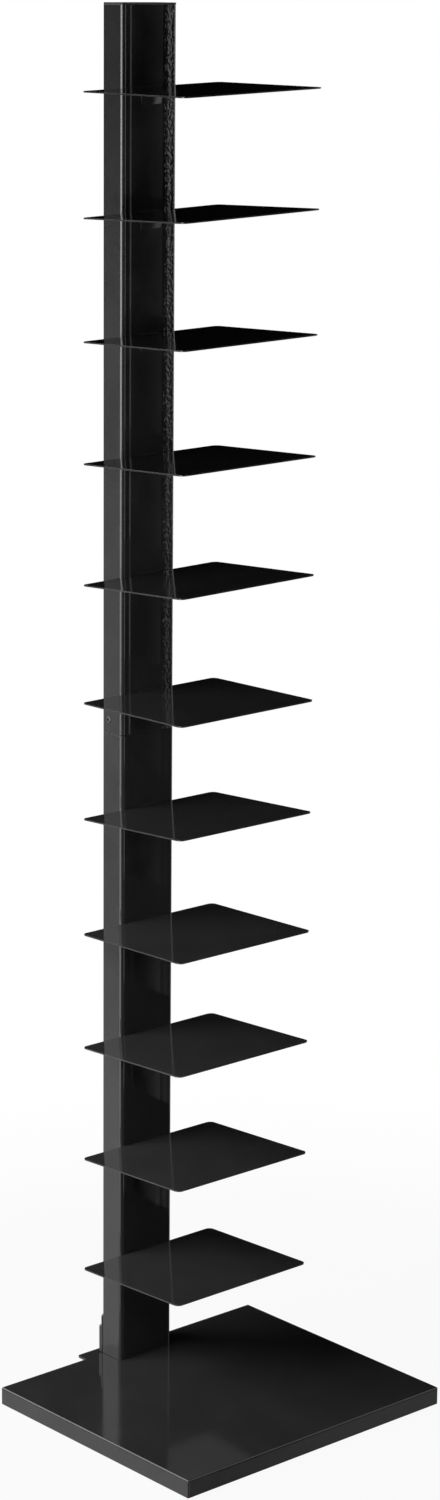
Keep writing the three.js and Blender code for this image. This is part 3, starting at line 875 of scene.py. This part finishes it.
def bracketPieces(p):
    low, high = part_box("foot_bracket")
    length = p["lap"] + p["reach"]
    place = shiftedBy(0, backEdge + p["reach"] - length / 2, low.z)
    plate = flatBar("bracket_plate", p["width"], length, p["sheet"], p["corner"], place, p)
    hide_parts("foot_bracket")
    height = high.z - low.z
    place = uprightAt(backEdge + post["overhang"], low.z + height / 2)
    flatBar("bracket_leg", p["legWidth"], height, p["sheet"], p["corner"], place, p)
    low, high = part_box("clamp_bar")
    place = uprightAt(low.y, (low.z + high.z) / 2)
    bar = flatBar("clamp_strip", p["legWidth"], high.z - low.z, high.y - low.y, p["barCorner"], place, p)
    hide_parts("clamp_bar")


bracketPieces(bracket)
print("bracket built")


# Bolts: copies of the frame's solids with their edges eased

bolts = {"edge": 0.25 * mm, "merge": 0.002 * mm, "flatAngle": 1}


def easedCopy(name, node, p):
    # The copy gives up the frame's own marks. Its triangles are merged and its flats made whole again, so
    # that only true edges are rounded.
    piece = nodes[node].copy()
    piece.data = nodes[node].data.copy()
    piece.name = name
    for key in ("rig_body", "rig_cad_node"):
        if key in piece:
            del piece[key]
    piece.parent = None
    scene.collection.objects.link(piece)
    bm = bmesh.new()
    bm.from_mesh(piece.data)
    bmesh.ops.remove_doubles(bm, verts=bm.verts, dist=p["merge"])
    bmesh.ops.dissolve_limit(bm, angle_limit=math.radians(p["flatAngle"]), verts=bm.verts, edges=bm.edges)
    bm.to_mesh(piece.data)
    bm.free()
    piece.data.materials.clear()
    piece.data.materials.append(zinc)
    piece.data.polygons.foreach_set("use_smooth", np.full(len(piece.data.polygons), True))
    roundEdges(piece, p["edge"], segments=2, angle=30)
    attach(piece, "root")
    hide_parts(node)


for side in ("left", "right"):
    easedCopy(f"clamp_screw_{side}", f"clamp_bolt_{side}", bolts)
for number in range(1, 5):
    easedCopy(f"foot_screw_{number}", f"foot_bolt_{number}", bolts)
print("bolts built")


# The frame's own solids that stay get the same finishes

finishes = {"gloss_black": glossBlack, "satin_black": satinBlack, "zinc": zinc, "black_plastic": plastic}
for part in frame["record"]["subparts"]:
    held = nodes[part["node"]]
    held.data.materials.clear()
    held.data.materials.append(finishes[part["material_slot"]])
print("solids painted")


# Floor: white to the camera, but for a share round the base that keeps the shadow. The gloss doesn't see it,
# because the studio below gives its brightness by direction.

white = (1, 1, 1)

floor = {
    "size": 40.0,
    "colour": (0.4, 0.4, 0.4),
    "paler": (0.412, 0.412, 0.412),
    "grain": 3.0,
    "roughness": 0.9,
    "specular": 0.1,
    "shadowShare": 0.06,
    "shadowFrom": 0.45,
    "shadowTo": 1.3,
}


def floorMaterial(p):
    # White share = Is Camera Ray * smoothstep of the distance from the middle, from 1 - shadow share to 1
    material = bpy.data.materials.new("pale floor")
    material.use_nodes = True
    tree = material.node_tree
    shader = tree.nodes["Principled BSDF"]
    place = tree.nodes.new("ShaderNodeTexCoord").outputs["Object"]
    grain = noiseNode(tree, place, p["grain"])
    tree.links.new(colourBetween(tree, grain, p["colour"], p["paler"]), shader.inputs["Base Color"])
    shader.inputs["Roughness"].default_value = p["roughness"]
    shader.inputs["Specular IOR Level"].default_value = p["specular"]
    away = addNode(tree, "ShaderNodeVectorMath", operation="LENGTH")
    tree.links.new(place, away.inputs[0])
    fade = addNode(tree, "ShaderNodeMapRange", interpolation_type="SMOOTHSTEP")
    ends = {"From Min": p["shadowFrom"], "From Max": p["shadowTo"], "To Min": 1 - p["shadowShare"]}
    for name, value in {"Value": away.outputs["Value"], **ends}.items():
        feed(tree, fade.inputs[name], value)
    backdrop = addNode(tree, "ShaderNodeEmission")
    feed(tree, backdrop.inputs["Color"], white)
    seen = addNode(tree, "ShaderNodeLightPath").outputs["Is Camera Ray"]
    mix = addNode(tree, "ShaderNodeMixShader")
    tree.links.new(mathNode(tree, "MULTIPLY", seen, fade.outputs["Result"]), mix.inputs["Fac"])
    tree.links.new(shader.outputs["BSDF"], mix.inputs[1])
    tree.links.new(backdrop.outputs["Emission"], mix.inputs[2])
    tree.links.new(mix.outputs["Shader"], tree.nodes["Material Output"].inputs["Surface"])
    return material


def addFloor(p):
    half = p["size"] / 2
    mesh = bpy.data.meshes.new("floor")
    corners = [(-half, -half, 0), (half, -half, 0), (half, half, 0), (-half, half, 0)]
    mesh.from_pydata(corners, [], [(0, 1, 2, 3)])
    mesh.materials.append(floorMaterial(p))
    ground = bpy.data.objects.new("floor", mesh)
    ground.visible_glossy = False
    scene.collection.objects.link(ground)


addFloor(floor)


# Lamps: large soft boxes round the post, each at an azimuth and tipped by its dip. They light the paint and
# the floor, while the gloss mirrors the studio below.

lamps = {
    "left softbox": {
        "azimuth": 161, "distance": 1.3, "height": 1.05, "width": 1.5, "tall": 0.76,
        "dip": 20, "spread": 140, "radiance": 4.5,
    },
    "front key": {
        "azimuth": 203, "distance": 0.9, "height": 1.05, "width": 0.6, "tall": 0.5,
        "dip": 20, "spread": 180, "radiance": 2.8,
    },
    "left low box": {
        "azimuth": 161, "distance": 1.3, "height": 0.36, "width": 1.4, "tall": 0.5,
        "dip": 0, "spread": 180, "radiance": 0.5,
    },
    "low back box": {
        "azimuth": 60, "distance": 2.2, "height": 0.33, "width": 1.6, "tall": 0.5,
        "dip": 0, "spread": 180, "radiance": 1.0,
    },
}


def addLamp(name, p):
    # Power = radiance * pi * area, so that two boxes of one radiance look equally bright
    turn, dip = math.radians(p["azimuth"]), math.radians(p["dip"])
    outward = Vector((math.cos(turn), math.sin(turn), 0))
    data = bpy.data.lights.new(name, "AREA")
    data.shape = "RECTANGLE"
    data.size = p["width"]
    data.size_y = p["tall"]
    data.spread = math.radians(p["spread"])
    data.energy = p["radiance"] * math.pi * p["width"] * p["tall"]
    lamp = bpy.data.objects.new(name, data)
    lamp.location = outward * p["distance"] + Vector((0, postMiddle, p["height"]))
    away = outward * math.cos(dip) + Vector((0, 0, math.sin(dip)))
    lamp.rotation_euler = away.to_track_quat("Z", "Y").to_euler()
    lamp.visible_camera = False
    lamp.visible_glossy = False
    scene.collection.objects.link(lamp)


for name, p in lamps.items():
    addLamp(name, p)


# Studio seen in the gloss: soft panels by azimuth and elevation in degrees. Each is
# (middle azimuth, half width, side softness, low edge, high edge, edge softness, radiance).

studio = {
    "left softbox": (183.5, 23, 4, -19.5, 9, 4, 2.4),
    "left softbox middle": (183.5, 23, 4, -8, 10, 4, 3.0),
    "left softbox top": (183.5, 32, 4, 9, 60, 4, 1.7),
    "left low glow": (183.5, 33.5, 4, -60, -19.5, 3, 0.6),
    "left floor": (128, 28, 5, -60, -17.5, 1.6, 0.50),
    "left floor far": (128, 28, 5, -60, -8, 6, 0.20),
    "front strip": (294, 10.5, 1.5, -40, 40, 6, 1.0),
    "front wall": (350, 38, 3, -60, 6, 4, 0.15),
    "front upper wall": (312, 30, 6, 13, 34, 5, 0.14),
    "front upper box": (328, 38, 8, 35, 62, 6, 0.8),
    "front floor near": (286, 25, 3, -60, -22.5, 1, 0.22),
    "front floor": (350, 38, 3, -60, -16.5, 1.5, 0.25),
    "right softbox": (339, 23, 3.5, -4.5, 40, 2.5, 0.68),
    "right wall": (339, 23, 4, -12, 40, 3, 0.35),
    "floor behind": (48, 45, 15, -60, -8, 6, 0.8),
    "back high box": (112, 30, 8, 14, 58, 8, 3.2),
    "right back wall": (2, 20, 8, -20, 22, 9, 0.6),
    "ceiling": (0, 181, 1, 62, 91, 14, 0.30),
}
panelLabels = ("Middle", "Half width", "Side softness", "Low", "High", "Edge softness", "Radiance")
unlit = 0.001  # what the gloss sees between the panels
room = (0.02, 0.02, 0.02)  # the even light on everything else


def makeSoftPanel():
    # Light = radiance * ramp(half width - distance round) * ramp(elevation - low) * ramp(high - elevation),
    # where ramp(d) is smoothstep of d / (2 softness) + 1/2
    inputs = [(label, 0.0) for label in ("Azimuth", "Elevation") + panelLabels]
    tree, given, result = groupTree("softPanel", inputs, ["Light"])

    def ramp(high, low, softness):
        distance = mathNode(tree, "SUBTRACT", high, low)
        share = mathNode(tree, "DIVIDE", distance, mathNode(tree, "MULTIPLY", softness, 2.0))
        t = mathNode(tree, "ADD", share, 0.5, clamp=True)
        slope = mathNode(tree, "SUBTRACT", 3.0, mathNode(tree, "MULTIPLY", t, 2.0))
        return mathNode(tree, "MULTIPLY", mathNode(tree, "MULTIPLY", t, t), slope)

    gap = addNode(tree, "ShaderNodeMath", operation="WRAP")
    beside = mathNode(tree, "SUBTRACT", given["Azimuth"], given["Middle"])
    for socket, value in zip(gap.inputs, (beside, 180.0, -180.0)):
        feed(tree, socket, value)
    distanceRound = mathNode(tree, "ABSOLUTE", gap.outputs[0])
    sides = ramp(given["Half width"], distanceRound, given["Side softness"])
    low = ramp(given["Elevation"], given["Low"], given["Edge softness"])
    high = ramp(given["High"], given["Elevation"], given["Edge softness"])
    window = mathNode(tree, "MULTIPLY", sides, mathNode(tree, "MULTIPLY", low, high))
    tree.links.new(mathNode(tree, "MULTIPLY", window, given["Radiance"]), result["Light"])
    return tree


def addWorld(panels):
    # Camera rays see white, glossy rays the sum of the panels, and all others the even room
    world = bpy.data.worlds.new("studio")
    world.use_nodes = True
    scene.world = world
    tree = world.node_tree
    softPanel = makeSoftPanel()
    split = addNode(tree, "ShaderNodeSeparateXYZ")
    tree.links.new(addNode(tree, "ShaderNodeTexCoord").outputs["Generated"], split.inputs[0])
    azimuth = mathNode(tree, "DEGREES", mathNode(tree, "ARCTAN2", split.outputs["Y"], split.outputs["X"]))
    elevation = mathNode(tree, "DEGREES", mathNode(tree, "ARCSINE", split.outputs["Z"]))
    total = unlit
    for name, values in panels.items():
        panel = addNode(tree, "ShaderNodeGroup", node_tree=softPanel, label=name)
        tree.links.new(azimuth, panel.inputs["Azimuth"])
        tree.links.new(elevation, panel.inputs["Elevation"])
        for label, value in zip(panelLabels, values):
            panel.inputs[label].default_value = value
        total = mathNode(tree, "ADD", panel.outputs["Light"], total)
    rays = addNode(tree, "ShaderNodeLightPath").outputs
    lit = colourBetween(tree, rays["Is Glossy Ray"], room, total)
    seen = colourBetween(tree, rays["Is Camera Ray"], lit, white)
    tree.links.new(seen, tree.nodes["Background"].inputs["Color"])


addWorld(studio)
scene.view_settings.view_transform = "Standard"
print("stage and lamps set")
